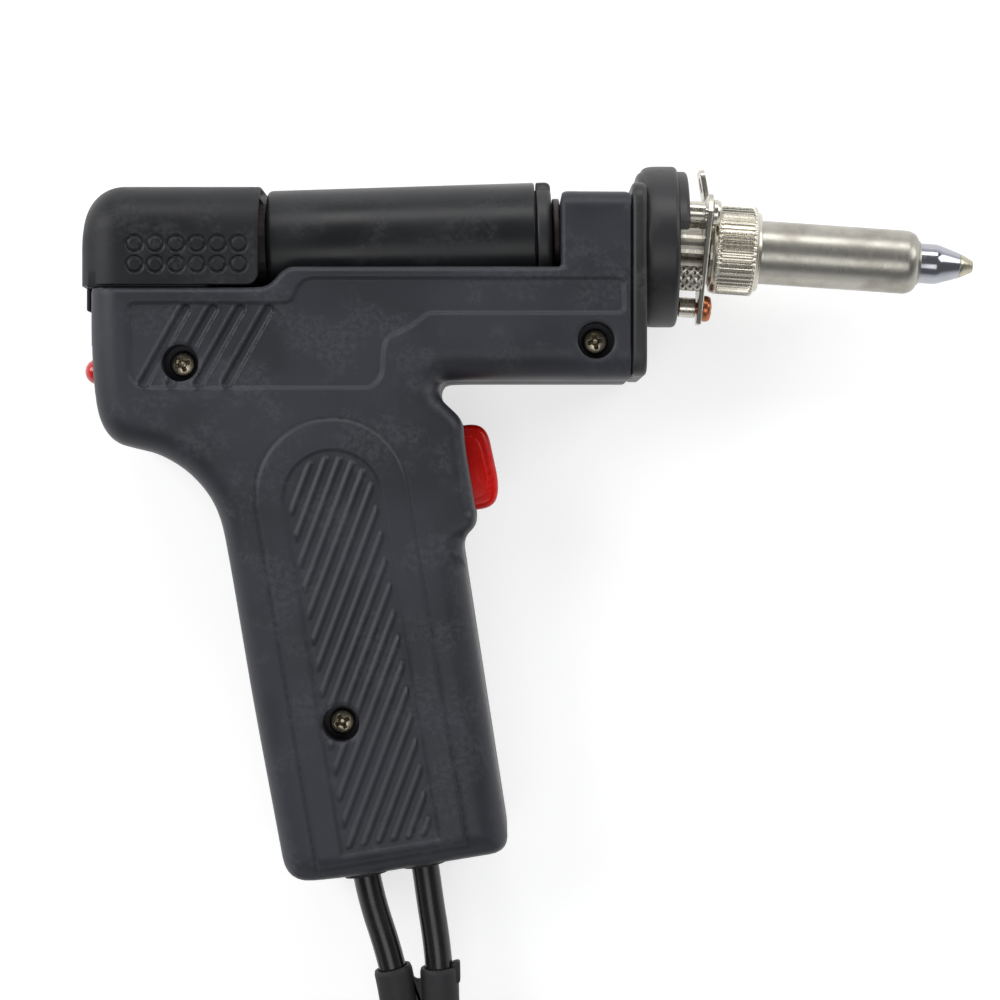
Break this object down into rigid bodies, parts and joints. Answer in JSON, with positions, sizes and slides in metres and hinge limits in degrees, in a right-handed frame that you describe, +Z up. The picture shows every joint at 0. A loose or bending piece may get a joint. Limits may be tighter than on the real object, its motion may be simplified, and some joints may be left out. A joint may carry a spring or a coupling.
{
  "type": "desoldering gun",
  "caption": "Pistol-grip vacuum desoldering gun with heated nozzle, lift-out solder canister, trigger switch, power lead and vacuum hose.",
  "frame": {"origin": "middle of the gun's box at the table it lies on, leads left out", "axes": "+X towards the nozzle, +Y towards the top of the gun, +Z up from the table, out of the gun's right side"},
  "size_m": [0.1952, 0.2616, 0.034],
  "materials": {
    "housing_plastic": "fine moulded grain, worn paler along the edges",
    "black_plastic": "satin moulded",
    "canister_black": "semi-gloss with fine scuffs",
    "red_plastic": "glossy",
    "nickel": "nickel plated",
    "copper_plate": "copper plated",
    "steel": "brushed along its turning",
    "chrome": "polished, tinned at the tip",
    "ceramic": "matt",
    "silicone": "matt",
    "rubber": "matt",
    "lead_black": "glossy sheath",
    "board_green": "solder mask"
  },
  "bodies": {
    "gun": {"clamp_screw_1": "nickel", "clamp_screw_2": "nickel", "flange_screw_1": "copper_plate", "flange_screw_2": "nickel", "flange_screw_3": "nickel", "flange_spacer_1": "nickel", "flange_spacer_2": "nickel", "flange_spacer_3": "nickel", "front_collar": "black_plastic", "front_seal": "silicone", "guide_tube": "steel", "heater_flange": "steel", "heater_pipe": "steel", "heater_socket": "steel", "heating_element": "ceramic", "hose_fitting": "nickel", "hose_grommet": "rubber", "housing_left": "housing_plastic", "housing_right": "housing_plastic", "housing_screw_front": "nickel", "housing_screw_grip": "nickel", "housing_screw_rear": "nickel", "inner_hose": "rubber", "lamp_board": "board_green", "lamp_lens": "red_plastic", "lead_clamp": "black_plastic", "lead_clip": "black_plastic", "lead_sleeve": "steel", "nozzle": "chrome", "plug_boot": "rubber", "plug_insert": "black_plastic", "plug_shell": "nickel", "plunger_spring": "steel", "power_grommet": "rubber", "power_lead": "lead_black", "power_lead_coil": "lead_black", "power_lead_tail": "lead_black", "power_lead_tie": "rubber", "suction_elbow": "black_plastic", "suction_tube": "steel", "switch_body": "black_plastic", "trigger_spring": "steel", "vacuum_hose": "lead_black", "vacuum_hose_coil": "lead_black", "vacuum_hose_tail": "lead_black", "vacuum_hose_tie": "rubber"},
    "rear_cover": {"rear_slide_cover": "black_plastic", "plunger": "black_plastic", "rear_seal": "silicone"},
    "canister": {"filter_canister": "canister_black", "canister_front_ring": "canister_black", "solder_catch_coil": "steel", "filter_pad": "ceramic"},
    "trigger": {"trigger_button": "red_plastic"},
    "switch_pin": {"switch_plunger": "red_plastic"},
    "nut": {"knurled_nut": "nickel"},
    "coupling_ring": {"plug_ring": "nickel"}
  },
  "joints": [
    {"name": "cover_slide", "type": "slide", "parent": "gun", "child": "rear_cover", "axis": [-1, 0, 0], "range_m": [0, 0.01], "stiffness_N_per_m": 180, "springref_m": -0.004, "deforming": ["plunger_spring"]},
    {"name": "canister_lift", "type": "slide", "parent": "gun", "child": "canister", "axis": [-0.0314, 0.9995, 0], "range_m": [0, 0.032]},
    {"name": "trigger_press", "type": "slide", "parent": "gun", "child": "trigger", "axis": [-0.9863, -0.165, 0], "range_m": [0, 0.0026], "stiffness_N_per_m": 600, "springref_m": -0.001, "deforming": ["trigger_spring"]},
    {"name": "switch_press", "type": "slide", "parent": "gun", "child": "switch_pin", "axis": [-0.9863, -0.165, 0], "range_m": [0, 0.0026]},
    {"name": "nut_turn", "type": "hinge", "parent": "gun", "child": "nut", "pos_m": [0.0314, 0.0556, 0.017], "axis": [0.9977, -0.068, 0], "continuous": true},
    {"name": "coupling_turn", "type": "hinge", "parent": "gun", "child": "coupling_ring", "pos_m": [0.08, -0.182, 0.008], "axis": [1, 0, 0], "continuous": true}
  ],
  "couplings": [
    {"joint": "switch_press", "follows": "trigger_press", "ratio": 1}
  ]
}
